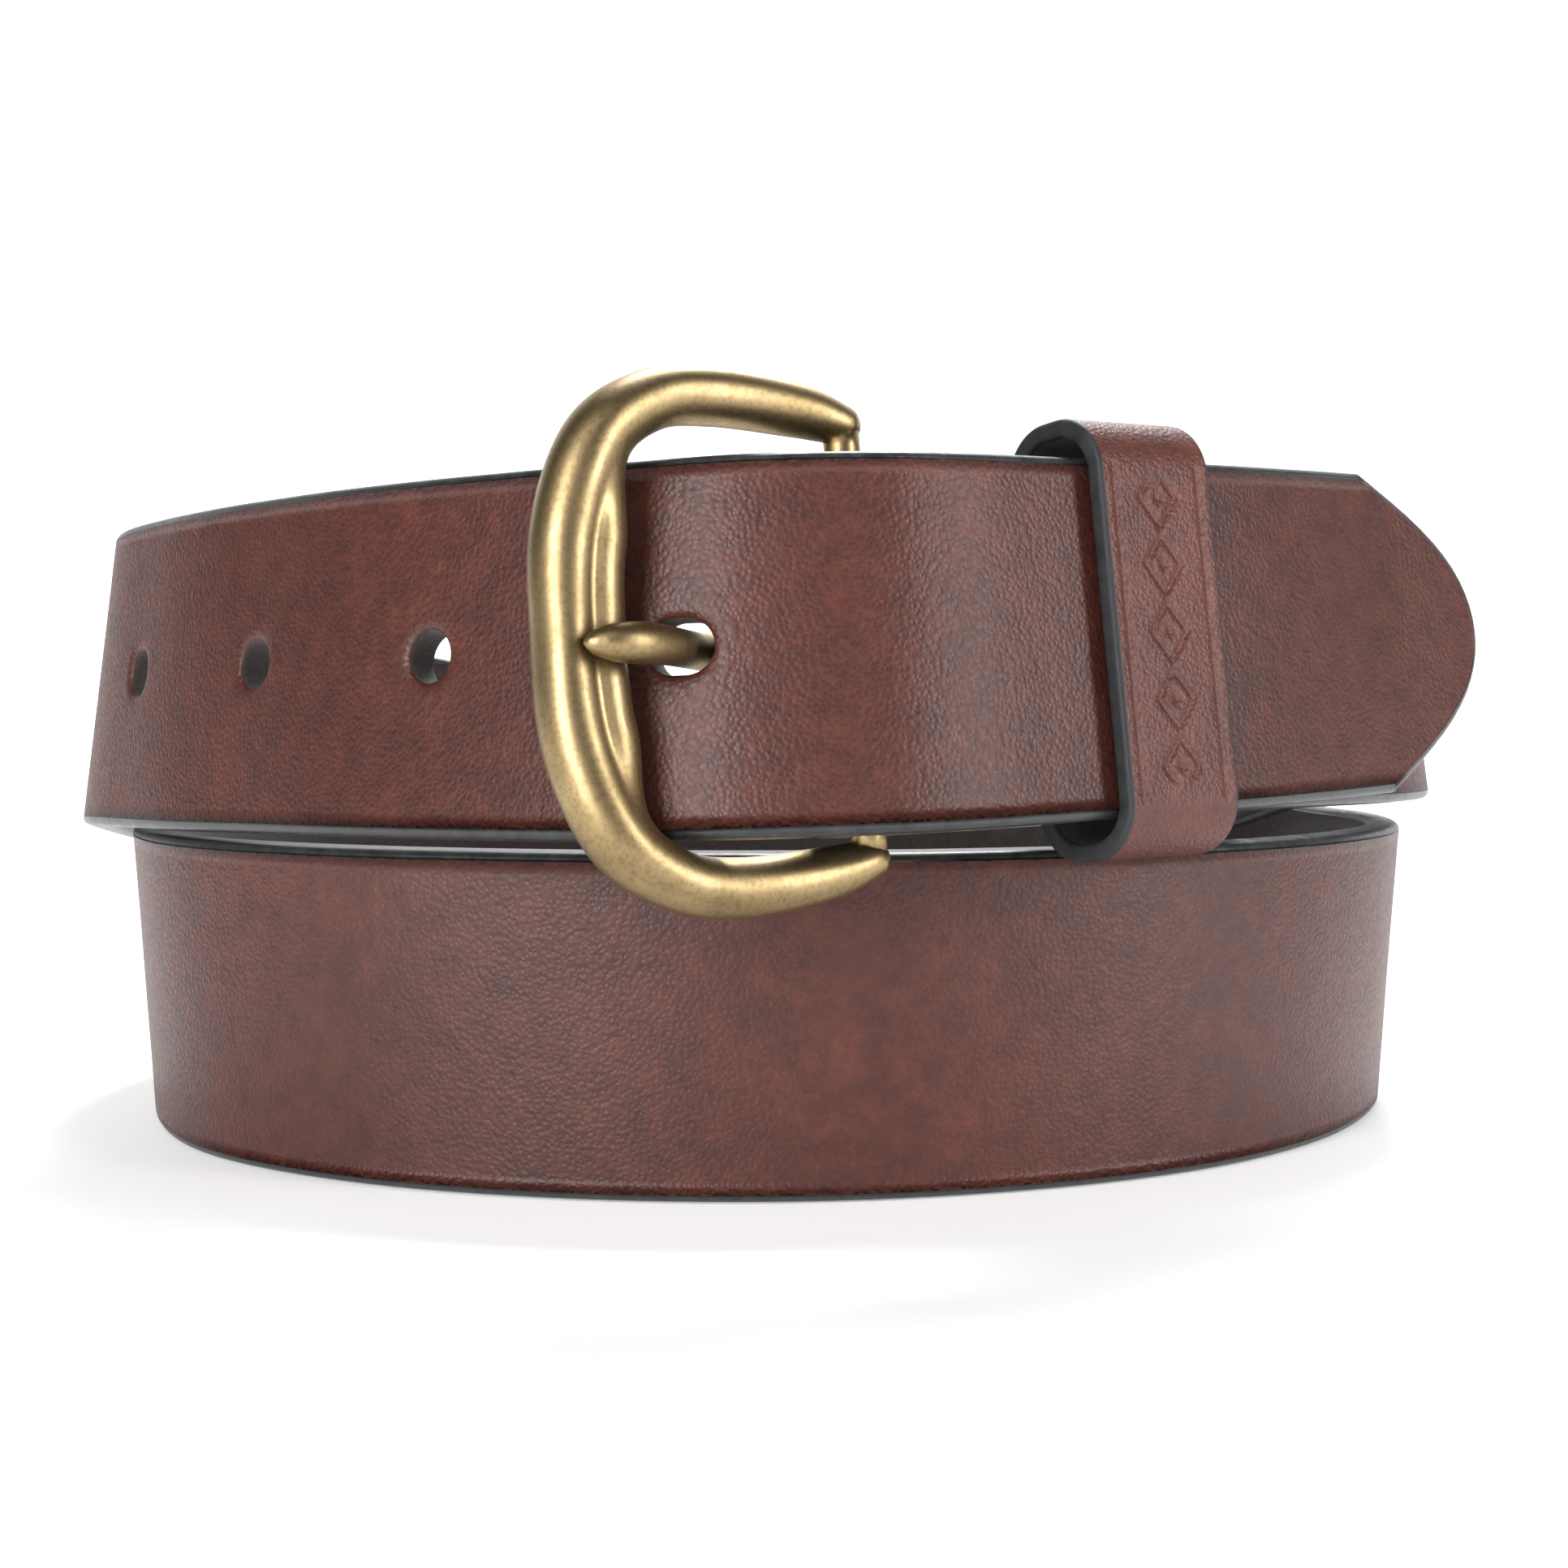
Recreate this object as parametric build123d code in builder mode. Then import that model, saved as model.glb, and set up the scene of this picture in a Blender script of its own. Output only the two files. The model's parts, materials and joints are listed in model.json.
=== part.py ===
from build123d import *
import math
import os

# A plain leather belt, buckled on itself and coiled twice round, standing on one long edge.
# Lengths are in millimetres. +Z is up, the buckle faces -Y, and the origin is on the table
# under the middle of the belt's outer box.

# --- strap ---
strap_width = 32.0
strap_thickness = 3.5
edge_bevel = 0.6
edge_pressed = 0.15                # the edge that stands on the table is pressed flat
turn_back_thickness = 2.8          # the folded end is skived thinner
point_length = 18.0                # the pointed tip
hole_diameter = 4.8
used_hole_length = 5.8             # the hole in use is drawn out by the prong
hole_pitch = 25.4
hole_count = 5
first_hole_to_tip = 98.2
cut_margin = 1.0                   # how far a cut runs past the face that it leaves
coil_centre_x = 3.2
coil_centre_y = 7.4

# --- how the strap lies: turn angle from the front, in degrees, growing towards +X ---
fold_turn = 5.5
tip_turn = 785.0
radius_stations = [
    (5.5, 80.0), (11, 77.2), (16, 74.9), (22, 72.5), (28, 71.0), (35, 69.7), (43, 69.0),
    (54, 69.2), (65, 70.0), (78, 70.4), (95, 69.2), (108, 68.0), (122, 67.6), (150, 67.8),
    (185, 68.4), (225, 69.4), (260, 70.8), (290, 72.3), (308, 73.4), (325, 72.0), (342, 69.8),
    (360, 68.2), (380, 67.0), (400, 66.9), (420, 67.2), (435, 68.1), (450, 69.6), (465, 72.4),
    (480, 74.4), (510, 75.6), (560, 75.9), (610, 76.4), (645, 76.6), (660, 74.5), (675, 73.9),
    (688, 75.7), (700, 79.1), (710, 83.0), (718, 85.5), (726, 84.5), (731, 82.2), (736, 79.3),
    (742, 76.7), (748, 75.1), (755, 73.9), (763, 73.2), (774, 74.0), (785, 78.6),
]
height_stations = [
    (5.5, 34.3), (40, 35.0), (78, 34.5), (95, 33.9), (108, 32.4), (122, 28.5), (150, 21.0),
    (185, 13.6), (225, 7.0), (260, 2.0), (290, 0.0), (360, 0.0), (435, 0.0), (465, 0.0),
    (480, 0.9), (510, 6.0), (540, 12.3), (580, 19.5), (605, 24.6), (640, 31.2), (670, 32.6),
    (708, 33.5), (725, 34.3), (760, 35.7), (785, 36.8),
]
lean_stations = [
    (5.5, 7.0), (60, 7.0), (78, 8.0), (120, 5.0), (180, 0.0), (240, -3.0), (290, -4.0),
    (435, -4.0), (480, -2.0), (520, 0.0), (560, 3.0), (610, 6.0), (645, 7.0), (785, 7.0),
]
span_turns = [5.5, 50, 120, 210, 300, 390, 480, 570, 660, 700, 740, 785]
section_spacing = 6.0

# --- turned-back end and its binding screws, measured along the strap from the heel bar ---
turn_back_length = 48.0
gap_stations = [(0, 3.4), (8, 2.9), (36, 2.9), (48, 1.6)]
slot_width = 5.0
slot_reach = 6.0
screw_distances = [11.5, 41.0]
screw_spread = 17.0
screw_barrel_radius = 2.5
screw_thread_radius = 1.7
screw_thread_length = 4.5
screw_head_radius = 4.4
screw_head_thickness = 0.9
screw_head_sink = 0.6
screw_clearance = 0.1
screw_head_fillet = 0.4
screw_thread_relief = 0.4          # the post's bore is drilled past the screw's end
driver_slot_width = 1.1
driver_slot_depth = 0.5

# --- buckle ---
bar_radius = 1.6
bar_clearance = 0.1
bar_half_length = 18.4
frame_rise = 0.8                   # the frame has slid a little way up the fold
buckle_angle = 21.0                # the frame's left side is turned towards the front
# reach from the heel bar, height up the bar, outward offset, half width, half depth
frame_stations = [
    (-1.8, 18.5, 0.0, 1.1, 1.2), (0.2, 19.1, 0.0, 1.75, 2.0), (4.5, 20.1, 0.5, 2.35, 2.4),
    (12.2, 20.9, 1.5, 2.6, 2.8), (18.2, 20.1, 2.8, 2.6, 3.0), (23.6, 16.4, 3.8, 2.8, 3.1),
    (26.4, 8.8, 3.2, 2.9, 3.2), (26.9, 0.0, 2.8, 2.7, 3.2),
]
lip_reach = 23.4
lip_offset = 2.7
lip_radius = 1.8
lip_half_length = 11.0

# --- prong: reach from the heel bar, outward offset, radius ---
prong_stations = [
    (2.4, 0.0, 1.5), (6.5, -0.4, 1.65), (10.5, -0.7, 1.65), (13.6, 0.0, 1.65),
    (16.2, 2.2, 1.65), (18.8, 4.7, 1.65), (21.4, 6.3, 1.65), (23.6, 6.9, 1.5), (25.6, 6.95, 0.9),
]
prong_eye_radius = 3.0
prong_eye_width = 3.4
prong_clearance = 0.05

# --- keeper ---
keeper_distance = 26.0             # middle of the keeper, from the heel bar
keeper_width = 13.5
keeper_thickness = 1.75
keeper_inner_height = 36.0
keeper_inner_depth = 8.9
keeper_inner_corner = 3.6
keeper_seam_gap = 0.2
staple_spacing = 6.0
staple_length = 8.0
staple_wire = 0.45
staple_width = 1.0
staple_clearance = 0.03


def smooth(stations, at):
    """Value at one place on a smooth curve through (place, value) stations."""
    last = len(stations) - 2
    index = 0
    while index < last and at > stations[index + 1][0]:
        index += 1

    def slope(number):
        before = stations[max(number - 1, 0)]
        here = stations[number]
        after = stations[min(number + 1, last + 1)]
        levelling = (after[1] - here[1]) * (here[1] - before[1]) <= 0
        if levelling and 0 < number <= last:
            return 0.0
        return (after[1] - before[1]) / (after[0] - before[0])

    (start, low), (end, high) = stations[index], stations[index + 1]
    span = end - start
    part = (at - start) / span
    return (
        low * (1 + 2 * part) * (1 - part) ** 2
        + high * part**2 * (3 - 2 * part)
        + span * slope(index) * part * (1 - part) ** 2
        - span * slope(index + 1) * part**2 * (1 - part)
    )


def strap_middle(turn):
    """Middle of the strap's width and thickness at a turn angle."""
    angle = math.radians(turn)
    radius = smooth(radius_stations, turn)
    lean = math.radians(smooth(lean_stations, turn))
    half_height = strap_width / 2 * math.cos(lean) + strap_thickness / 2 * abs(math.sin(lean))
    height = smooth(height_stations, turn) + half_height - edge_pressed
    return Vector(
        coil_centre_x + radius * math.sin(angle), coil_centre_y - radius * math.cos(angle), height
    )


def strap_plane(turn):
    """Plane across the strap: x out of the grain face, y up the width, z back to the fold."""
    step = 0.2
    before = strap_middle(max(turn - step, fold_turn))
    after = strap_middle(min(turn + step, tip_turn))
    along = (after - before).normalized()
    outward = along.cross(Vector(0, 0, 1)).normalized()
    lean = smooth(lean_stations, turn)
    outward = outward.rotate(Axis((0, 0, 0), along), -lean)
    return Plane(origin=strap_middle(turn), x_dir=outward, z_dir=-along)


def strap_face(turn, outward=0.0):
    """Plane lying in the strap: x along it, y up its width, z out of the grain face."""
    across = strap_plane(turn)
    origin = across.origin + across.x_dir * outward
    return Plane(origin=origin, x_dir=-across.z_dir, z_dir=across.x_dir)


def turn_along(start_turn, distance):
    """Turn angle reached by walking a distance along the strap."""
    step = math.copysign(0.05, distance)
    turn = start_turn
    walked = 0.0
    while walked < abs(distance):
        walked += (strap_middle(turn + step) - strap_middle(turn)).length
        turn += step
    return turn


def strap_section(turn, thickness=strap_thickness, inside=0.0):
    """Bevelled section of the strap, or of a layer that lies inside it."""
    with BuildSketch(strap_plane(turn)) as section:
        with Locations((-inside, 0)):
            outline = Rectangle(thickness, strap_width)
        chamfer(outline.vertices(), edge_bevel)
    return section.sketch


def turn_back_inside(distance):
    """How far the turned-back layer's middle lies inside the front layer's middle."""
    return (strap_thickness + turn_back_thickness) / 2 + smooth(gap_stations, distance)


def buckle_point(reach, height, outward):
    """Point given by its reach from the heel bar, height up the bar and outward offset."""
    return buckle_plane.from_local_coords(Vector(-reach, height, outward))


# The front layer starts at the fold, and the heel bar lies just inside it.
fold_plane = strap_face(fold_turn)
fold_radius = bar_radius + bar_clearance + strap_thickness / 2
bar_centre = fold_plane.origin - fold_plane.z_dir * fold_radius
bar_direction = fold_plane.y_dir
bar_plane = Plane(origin=bar_centre, x_dir=fold_plane.x_dir, z_dir=bar_direction)

angle = math.radians(buckle_angle)
frame_right = Vector(math.cos(angle), math.sin(angle), 0)
frame_right = (frame_right - bar_direction * frame_right.dot(bar_direction)).normalized()
buckle_plane = Plane(origin=bar_centre, x_dir=frame_right, z_dir=frame_right.cross(bar_direction))

# The keeper closes round the front layer and the tongue that lies on it.
keeper_turn = turn_along(fold_turn, keeper_distance)
front_plane = strap_plane(keeper_turn)
tongue_offset = front_plane.to_local_coords(strap_middle(keeper_turn + 720))
keeper_plane = Plane(
    origin=front_plane.from_local_coords(Vector(tongue_offset.X / 2, tongue_offset.Y / 2, 0)),
    x_dir=front_plane.x_dir,
    z_dir=front_plane.z_dir,
)
turn_back_turn = turn_along(fold_turn, turn_back_length)


# --- strap: one strip, folded round the heel bar, slotted, punched and pointed ---
with BuildPart() as strap:
    for start, end in zip(span_turns[:-1], span_turns[1:]):
        count = max(5, round((end - start) / section_spacing))
        loft([strap_section(start + (end - start) * step / count) for step in range(count + 1)])
    # half turn round the heel bar
    revolve(
        strap_section(fold_turn), axis=Axis(bar_centre, -bar_direction), revolution_arc=180
    )
    # skived layer turned back behind the front layer
    layers = [strap_section(fold_turn, strap_thickness, 2 * fold_radius)]
    for part in (0.1, 0.2, 0.35, 0.5, 0.7, 0.85, 1.0):
        turn = fold_turn + (turn_back_turn - fold_turn) * part
        inside = turn_back_inside(turn_back_length * part)
        layers.append(strap_section(turn, turn_back_thickness, inside))
    loft(layers)
    # slot for the prong, through the fold and a little way into both layers
    with BuildSketch(Plane(origin=bar_centre, x_dir=fold_plane.x_dir, z_dir=fold_plane.z_dir)):
        with Locations((slot_reach / 2 - slot_width, 0)):
            SlotOverall(slot_reach + 2 * slot_width, slot_width)
    extrude(amount=fold_radius + strap_thickness / 2 + cut_margin, both=True, mode=Mode.SUBTRACT)
    # screw holes through both layers, with shallow seats for the heads
    for distance in screw_distances:
        outer = strap_face(turn_along(fold_turn, distance), strap_thickness / 2)
        depth = strap_thickness / 2 + turn_back_inside(distance) + turn_back_thickness / 2
        for height in (-screw_spread / 2, screw_spread / 2):
            with BuildSketch(outer):
                with Locations((0, height)):
                    Circle(screw_barrel_radius + screw_clearance)
            extrude(amount=-depth - cut_margin, mode=Mode.SUBTRACT)
            for level in (-screw_head_sink, -depth - cut_margin):
                with BuildSketch(outer.offset(level)):
                    with Locations((0, height)):
                        Circle(screw_head_radius + screw_clearance)
                extrude(amount=cut_margin + screw_head_sink, mode=Mode.SUBTRACT)
    # punched holes
    for number in range(hole_count):
        distance = first_hole_to_tip + number * hole_pitch
        with BuildSketch(strap_face(turn_along(tip_turn, -distance))):
            if number == 0:
                SlotOverall(used_hole_length, hole_diameter)
            else:
                Circle(hole_diameter / 2)
        extrude(amount=strap_thickness, both=True, mode=Mode.SUBTRACT)
    # pointed tip
    half_width = strap_width / 2
    with BuildSketch(strap_face(tip_turn)):
        Rectangle(2 * point_length, strap_width + 4)
        with BuildLine():
            Bezier((-point_length, half_width), (point_length, 0), (-point_length, -half_width))
            Polyline(
                (-point_length, -half_width),
                (-point_length - 2, -half_width - 3),
                (-point_length - 2, half_width + 3),
                (-point_length, half_width),
            )
        make_face(mode=Mode.SUBTRACT)
    extrude(amount=strap_thickness, both=True, mode=Mode.SUBTRACT)
    # narrow flat along the edge that stands on the table
    split(bisect_by=Plane.XY, keep=Keep.TOP)

# --- binding screws: a barrel with a flat head from the grain side, a screw from inside ---
screw_posts = []
screws = []
for distance in screw_distances:
    outer = strap_face(turn_along(fold_turn, distance), strap_thickness / 2)
    depth = strap_thickness / 2 + turn_back_inside(distance) + turn_back_thickness / 2
    for height in (-screw_spread / 2, screw_spread / 2):
        seat = outer.offset(-screw_head_sink)
        inner_seat = outer.offset(screw_head_sink - depth)
        with BuildPart() as post:
            with BuildSketch(seat):
                with Locations((0, height)):
                    Circle(screw_head_radius)
            extrude(amount=screw_head_thickness)
            crown = post.faces().sort_by(Axis(seat.origin, seat.z_dir))[-1]
            fillet(crown.edges(), screw_head_fillet)
            with BuildSketch(seat):
                with Locations((0, height)):
                    Circle(screw_barrel_radius)
            extrude(amount=2 * screw_head_sink - depth + screw_clearance)
            with BuildSketch(inner_seat):
                with Locations((0, height)):
                    Circle(screw_thread_radius + screw_clearance / 2)
            extrude(amount=screw_thread_length + screw_thread_relief, mode=Mode.SUBTRACT)
        screw_posts.append(post)
        with BuildPart() as screw:
            with BuildSketch(inner_seat):
                with Locations((0, height)):
                    Circle(screw_head_radius)
            extrude(amount=-screw_head_thickness)
            crown = screw.faces().sort_by(Axis(seat.origin, -seat.z_dir))[-1]
            fillet(crown.edges(), screw_head_fillet)
            with BuildSketch(inner_seat):
                with Locations((0, height)):
                    Circle(screw_thread_radius)
            extrude(amount=screw_thread_length)
            with BuildSketch(inner_seat.offset(-screw_head_thickness)):
                with Locations((0, height)):
                    Rectangle(2 * screw_head_radius + cut_margin, driver_slot_width)
            extrude(amount=driver_slot_depth, mode=Mode.SUBTRACT)
        screws.append(screw)

# --- buckle frame: a horseshoe rod, its ends joined by the straight heel bar ---
lower_stations = [(reach, -up, *rest) for reach, up, *rest in frame_stations[:-1]]
rod_stations = frame_stations + lower_stations[::-1]
with BuildPart() as buckle_frame:
    with BuildLine(mode=Mode.PRIVATE):
        rod_line = Spline(*[
            buckle_point(reach, up + frame_rise, outward) for reach, up, outward, *_ in rod_stations
        ])
    for reach, up, outward, half_wide, half_deep in rod_stations:
        point = buckle_point(reach, up + frame_rise, outward)
        along = rod_line.tangent_at(point)
        with BuildSketch(Plane(origin=point, x_dir=along.cross(buckle_plane.z_dir), z_dir=along)):
            Ellipse(half_wide, half_deep)
    loft()
    with BuildSketch(bar_plane.offset(frame_rise)):
        Circle(bar_radius)
    extrude(amount=bar_half_length, both=True)
    # raised lip along the inner side of the front bar, with a rest for the prong's tip
    lip_plane = Plane(
        origin=buckle_point(lip_reach, frame_rise, lip_offset),
        x_dir=buckle_plane.x_dir,
        z_dir=bar_direction,
    )
    with BuildSketch(lip_plane):
        Circle(lip_radius)
    extrude(amount=lip_half_length, both=True, taper=4)

# --- prong: an eye round the heel bar and a shank that rises through the hole in use ---
with BuildPart() as prong:
    with BuildLine(mode=Mode.PRIVATE):
        shank_line = Spline(*[buckle_point(reach, 0, out) for reach, out, _ in prong_stations])
    for reach, outward, radius in prong_stations:
        point = buckle_point(reach, 0, outward)
        along = shank_line.tangent_at(point)
        with BuildSketch(Plane(origin=point, x_dir=bar_direction, z_dir=along)):
            Circle(radius)
    loft()
    tip_reach, tip_outward, tip_radius = prong_stations[-1]
    with Locations(buckle_point(tip_reach, 0, tip_outward)):
        Sphere(tip_radius)
    with BuildSketch(bar_plane):
        Circle(prong_eye_radius)
    extrude(amount=prong_eye_width / 2, both=True)
    with BuildSketch(bar_plane):
        Circle(bar_radius + prong_clearance)
    extrude(amount=prong_eye_width, both=True, mode=Mode.SUBTRACT)

# --- keeper: a narrow strip bent into a loop, its butted ends stapled inside the fold ---
with BuildPart() as keeper_loop:
    with BuildSketch(keeper_plane):
        RectangleRounded(
            keeper_inner_depth + 2 * keeper_thickness,
            keeper_inner_height + 2 * keeper_thickness,
            keeper_inner_corner + keeper_thickness,
        )
        RectangleRounded(
            keeper_inner_depth, keeper_inner_height, keeper_inner_corner, mode=Mode.SUBTRACT
        )
        with Locations((-keeper_inner_depth / 2 - keeper_thickness / 2, 0)):
            Rectangle(2 * keeper_thickness, keeper_seam_gap, mode=Mode.SUBTRACT)
    extrude(amount=keeper_width / 2, both=True)
    for shift in (-staple_spacing / 2, staple_spacing / 2):
        with BuildSketch(keeper_plane.offset(shift)):
            with Locations((-keeper_inner_depth / 2 - keeper_thickness / 2, 0)):
                Rectangle(keeper_thickness + cut_margin, staple_length + 2 * staple_clearance)
                Rectangle(
                    keeper_thickness - 2 * staple_wire - 2 * staple_clearance,
                    staple_length - 2 * staple_wire - 2 * staple_clearance,
                    mode=Mode.SUBTRACT,
                )
        extrude(amount=staple_width / 2 + staple_clearance, both=True, mode=Mode.SUBTRACT)

# --- staples: each a flat wire, driven through both ends of the loop and clinched flush ---
staples = []
for shift in (-staple_spacing / 2, staple_spacing / 2):
    with BuildPart() as staple:
        with BuildSketch(keeper_plane.offset(shift)):
            with Locations((-keeper_inner_depth / 2 - keeper_thickness / 2, 0)):
                Rectangle(keeper_thickness, staple_length)
                Rectangle(
                    keeper_thickness - 2 * staple_wire,
                    staple_length - 2 * staple_wire,
                    mode=Mode.SUBTRACT,
                )
        extrude(amount=staple_width / 2, both=True)
    staples.append(staple)

pieces = {
    "strap": strap,
    "buckle_frame": buckle_frame,
    "prong": prong,
    "keeper_loop": keeper_loop,
}
screw_names = ("buckle_side_lower", "buckle_side_upper", "keeper_side_lower", "keeper_side_upper")
for name, post, screw in zip(screw_names, screw_posts, screws):
    pieces[f"{name}_screw_post"] = post
    pieces[f"{name}_screw"] = screw
for name, staple in zip(("tip_side", "buckle_side"), staples):
    pieces[f"{name}_keeper_staple"] = staple

os.makedirs("parts", exist_ok=True)
for name, piece in pieces.items():
    piece.part.label = name
    export_step(piece.part, f"parts/{name}.step")
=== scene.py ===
import json
import math
import bpy
import numpy as np
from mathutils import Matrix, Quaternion, Vector, noise


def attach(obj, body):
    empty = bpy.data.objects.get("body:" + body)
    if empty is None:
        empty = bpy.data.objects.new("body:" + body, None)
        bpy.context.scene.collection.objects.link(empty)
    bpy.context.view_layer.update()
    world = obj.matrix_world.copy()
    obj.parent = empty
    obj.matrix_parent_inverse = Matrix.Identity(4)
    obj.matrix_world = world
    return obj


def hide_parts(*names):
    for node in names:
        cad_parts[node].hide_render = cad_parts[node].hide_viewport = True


# A leather belt, buckled on itself and coiled twice round, standing on one long edge.
# Sizes are in millimetres until they become mesh points, and mm turns them into metres.

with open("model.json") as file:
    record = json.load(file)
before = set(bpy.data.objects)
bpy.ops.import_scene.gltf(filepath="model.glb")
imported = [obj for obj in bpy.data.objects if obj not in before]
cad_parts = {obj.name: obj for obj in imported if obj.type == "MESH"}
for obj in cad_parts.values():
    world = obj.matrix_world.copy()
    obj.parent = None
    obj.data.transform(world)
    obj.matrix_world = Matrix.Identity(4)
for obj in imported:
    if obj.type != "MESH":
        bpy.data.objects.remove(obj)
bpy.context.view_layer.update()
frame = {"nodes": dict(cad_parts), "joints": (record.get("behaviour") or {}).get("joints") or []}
mm = 0.001
joints = {joint["name"]: joint for joint in frame["joints"]}

# --- driving sizes, the same as the CAD part's except where a comment says otherwise ---
strap_width = 32.0
strap_thickness = 3.5
edge_pressed = 0.15
turn_back_thickness = 2.8
turn_back_length = 48.0
point_length = 18.0
hole_diameter = 4.8
used_hole_length = 5.8
hole_pitch = 25.4
hole_count = 5
first_hole_to_tip = 98.2
coil_centre = Vector((3.2, 7.4, 0.0))
fold_turn = 5.5
tip_turn = 785.0
radius_stations = [
    (5.5, 80.0), (11, 77.2), (16, 74.9), (22, 72.5), (28, 71.0), (35, 69.7), (43, 69.0),
    (54, 69.2), (65, 70.0), (78, 70.4), (95, 69.2), (108, 68.0), (122, 67.6), (150, 67.8),
    (185, 68.4), (225, 69.4), (260, 70.8), (290, 72.3), (308, 73.4), (325, 72.0), (342, 69.8),
    (360, 68.2), (380, 67.0), (400, 66.9), (420, 67.2), (435, 68.1), (450, 69.6), (465, 72.4),
    (480, 74.4), (510, 75.6), (560, 75.9), (610, 76.4), (645, 76.6), (660, 74.5), (675, 73.9),
    (688, 75.7), (700, 79.1), (710, 83.0), (718, 85.5), (726, 84.5), (731, 82.2), (736, 79.3),
    (742, 76.7), (748, 75.1), (755, 73.9), (763, 73.2), (774, 74.0), (785, 78.6),
]
height_stations = [
    (5.5, 34.3), (40, 35.0), (78, 34.5), (95, 33.9), (108, 32.4), (122, 28.5), (150, 21.0),
    (185, 13.6), (225, 7.0), (260, 2.0), (290, 0.0), (360, 0.0), (435, 0.0), (465, 0.0),
    (480, 0.9), (510, 6.0), (540, 12.3), (580, 19.5), (605, 24.6), (640, 31.2), (670, 32.6),
    (708, 33.5), (725, 34.3), (760, 35.7), (785, 36.8),
]
lean_stations = [
    (5.5, 7.0), (60, 7.0), (78, 8.0), (120, 5.0), (180, 0.0), (240, -3.0), (290, -4.0),
    (435, -4.0), (480, -2.0), (520, 0.0), (560, 3.0), (610, 6.0), (645, 7.0), (785, 7.0),
]
gap_stations = [(0, 3.4), (8, 2.9), (36, 2.9), (48, 1.6)]
slot_width = 5.0
slot_reach = 6.0
screw_distances = [11.5, 41.0]
screw_spread = 17.0
screw_hole_radius = 2.6
screw_seat_radius = 4.5
screw_seat_depth = 0.6
bar_radius = 1.6
bar_clearance = 0.1
bar_half_length = 18.4
frame_rise = 0.8                   # the frame has slid a little way up the fold
buckle_angle = 21.0
frame_stations = [
    (-1.8, 18.5, 0.0, 1.1, 1.2), (0.2, 19.1, 0.0, 1.75, 2.0), (4.5, 20.1, 0.5, 2.35, 2.4),
    (12.2, 20.9, 1.5, 2.6, 2.8), (18.2, 20.1, 2.8, 2.6, 3.0), (23.6, 16.4, 3.8, 2.8, 3.1),
    (26.4, 8.8, 3.2, 2.9, 3.2), (26.9, 0.0, 2.8, 2.7, 3.2),
]
# the CAD part's line, with radii up to 0.1 different and more points towards the tip
prong_stations = [
    (2.4, 0.0, 1.5), (6.5, -0.4, 1.6), (10.5, -0.7, 1.6), (13.6, 0.0, 1.6), (16.2, 2.2, 1.6),
    (18.8, 4.7, 1.65), (21.4, 6.3, 1.75), (23.6, 6.9, 1.6), (25.2, 6.95, 1.15),
    (26.1, 6.95, 0.6), (26.45, 6.95, 0.12),
]
prong_eye_radius = 3.0
prong_eye_width = 3.4
prong_clearance = 0.05
keeper_distance = 26.0
keeper_width = 13.5
keeper_thickness = 1.75
keeper_inner_height = 36.0
keeper_inner_depth = 8.9
keeper_inner_corner = 3.6
keeper_seam_gap = 0.2
fold_radius = bar_radius + bar_clearance + strap_thickness / 2
fold_length = math.pi * fold_radius
layer_settling = 5.0               # the folded layer reaches its own place over this length
curve_samples = 3201


# --- where the strap lies ---
def smooth(stations, at):
    """Value at one place on a smooth curve through (place, value) stations."""
    last = len(stations) - 2
    index = 0
    while index < last and at > stations[index + 1][0]:
        index += 1

    def slope(number):
        before = stations[max(number - 1, 0)]
        here = stations[number]
        after = stations[min(number + 1, last + 1)]
        levelling = (after[1] - here[1]) * (here[1] - before[1]) <= 0
        if levelling and 0 < number <= last:
            return 0.0
        return (after[1] - before[1]) / (after[0] - before[0])

    (start, low), (end, high) = stations[index], stations[index + 1]
    span = end - start
    part = (at - start) / span
    return (
        low * (1 + 2 * part) * (1 - part) ** 2
        + high * part**2 * (3 - 2 * part)
        + span * slope(index) * part * (1 - part) ** 2
        - span * slope(index + 1) * part**2 * (1 - part)
    )


def strap_middle(turn):
    """Middle of the strap's width and thickness at a turn angle."""
    angle = math.radians(turn)
    radius = smooth(radius_stations, turn)
    lean = math.radians(smooth(lean_stations, turn))
    half_height = strap_width / 2 * math.cos(lean) + strap_thickness / 2 * abs(math.sin(lean))
    height = smooth(height_stations, turn) + half_height - edge_pressed
    return coil_centre + Vector((radius * math.sin(angle), -radius * math.cos(angle), height))


def strap_axes(turn):
    """Middle of the strap, and the directions along it, out of its grain face and up it."""
    step = 0.2
    before = strap_middle(max(turn - step, fold_turn))
    after = strap_middle(min(turn + step, tip_turn))
    along = (after - before).normalized()
    outward = along.cross(Vector((0, 0, 1))).normalized()
    outward.rotate(Quaternion(along, -math.radians(smooth(lean_stations, turn))))
    return strap_middle(turn), along, outward, outward.cross(along)


turns = np.linspace(fold_turn, tip_turn, curve_samples)
axes = [strap_axes(turn) for turn in turns]
middles, alongs, outwards, ups = (np.array([a[k] for a in axes]) for k in range(4))
steps = np.linalg.norm(np.diff(middles, axis=0), axis=1)
distances = np.concatenate([[0.0], np.cumsum(steps)])
strap_length = distances[-1]
first_distance = -(fold_length + turn_back_length)


def follow(values, at):
    """Rows of values, read at distances along the front layer."""
    return np.stack([np.interp(at, distances, values[:, k]) for k in range(3)], axis=1)


def turn_back_inside(distance):
    """How far the turned-back layer's middle lies inside the front layer's middle."""
    settled = (strap_thickness + turn_back_thickness) / 2 + smooth(gap_stations, distance)
    start = (strap_thickness + turn_back_thickness) / 2 + gap_stations[0][1]
    leaving = max(0.0, 1 - distance / layer_settling)
    return settled + (2 * fold_radius - start) * leaving**2 * (3 - 2 * leaving)


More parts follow.
